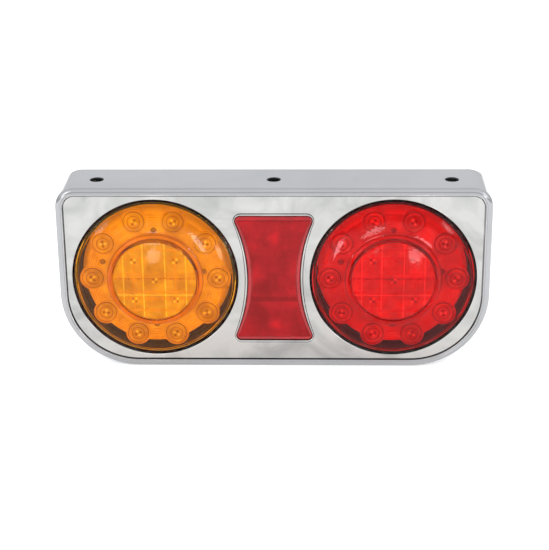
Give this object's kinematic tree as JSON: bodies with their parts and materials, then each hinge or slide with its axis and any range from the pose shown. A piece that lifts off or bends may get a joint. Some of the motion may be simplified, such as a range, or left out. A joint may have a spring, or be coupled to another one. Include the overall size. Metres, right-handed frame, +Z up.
{
  "type": "trailer tail light",
  "caption": "Wide trailer tail light: round amber and red LED lamps with a waisted red reflector between them, in a chromed housing bolted on through its top face.",
  "frame": {"origin": "axis of the middle bolt hole at the housing's top face", "axes": "+X along the housing to the right as seen from behind the trailer, -Y out of the lenses, +Z up along the bolt holes"},
  "size_m": [0.372, 0.0784, 0.165],
  "materials": {
    "chromed_housing": "satin bright plating on moulded ABS",
    "chromed_face": "mirror-bright plating on moulded ABS",
    "zinc_steel": "zinc plated steel strip",
    "zinc_screw": "zinc plated pan-head screws",
    "red_reflector": "moulded PMMA with prisms on its back",
    "white_tray": "moulded ABS tray",
    "amber_lens": "clear gloss tinted polycarbonate",
    "red_lens": "clear gloss tinted polycarbonate",
    "amber_optic": "amber tinted PMMA optic",
    "red_optic": "red tinted PMMA optic",
    "black_base": "moulded ABS lamp body",
    "black_cover": "fine-textured moulded ABS",
    "black_nylon": "moulded nylon",
    "black_rubber": "moulded EPDM rubber",
    "circuit_board": "white solder mask over glass-epoxy",
    "led": "surface-mount LED package",
    "resistor": "surface-mount resistor",
    "potting": "cast epoxy resin",
    "lead_jacket": "PVC sheathed lead",
    "grey_block": "moulded polyamide"
  },
  "bodies": {
    "root": {"amber_circuit_board": "circuit_board", "amber_lamp_base": "black_base", "amber_lamp_screws": "zinc_screw", "amber_lead": "lead_jacket", "amber_lead_grommet": "black_rubber", "amber_leds": "led", "amber_lens": "amber_lens", "amber_lens_seal": "black_rubber", "amber_optic": "amber_optic", "amber_pillow_optic": "amber_optic", "amber_potting": "potting", "amber_resistors": "resistor", "back_cover": "black_cover", "back_cover_gasket": "black_rubber", "back_cover_screws": "zinc_screw", "face_plate": "chromed_face", "gland_body": "black_nylon", "gland_dome_nut": "black_nylon", "gland_locknut": "black_nylon", "gland_seal": "black_rubber", "housing_shell": "chromed_housing", "mounting_strip": "zinc_steel", "red_circuit_board": "circuit_board", "red_lamp_base": "black_base", "red_lamp_screws": "zinc_screw", "red_lead": "lead_jacket", "red_lead_grommet": "black_rubber", "red_leds": "led", "red_lens": "red_lens", "red_lens_seal": "black_rubber", "red_optic": "red_optic", "red_pillow_optic": "red_optic", "red_potting": "potting", "red_resistors": "resistor", "reflector_lens": "red_reflector", "reflector_screws": "zinc_screw", "reflector_tray": "white_tray", "terminal_block": "grey_block", "terminal_screws": "zinc_screw"}
  },
  "joints": []
}
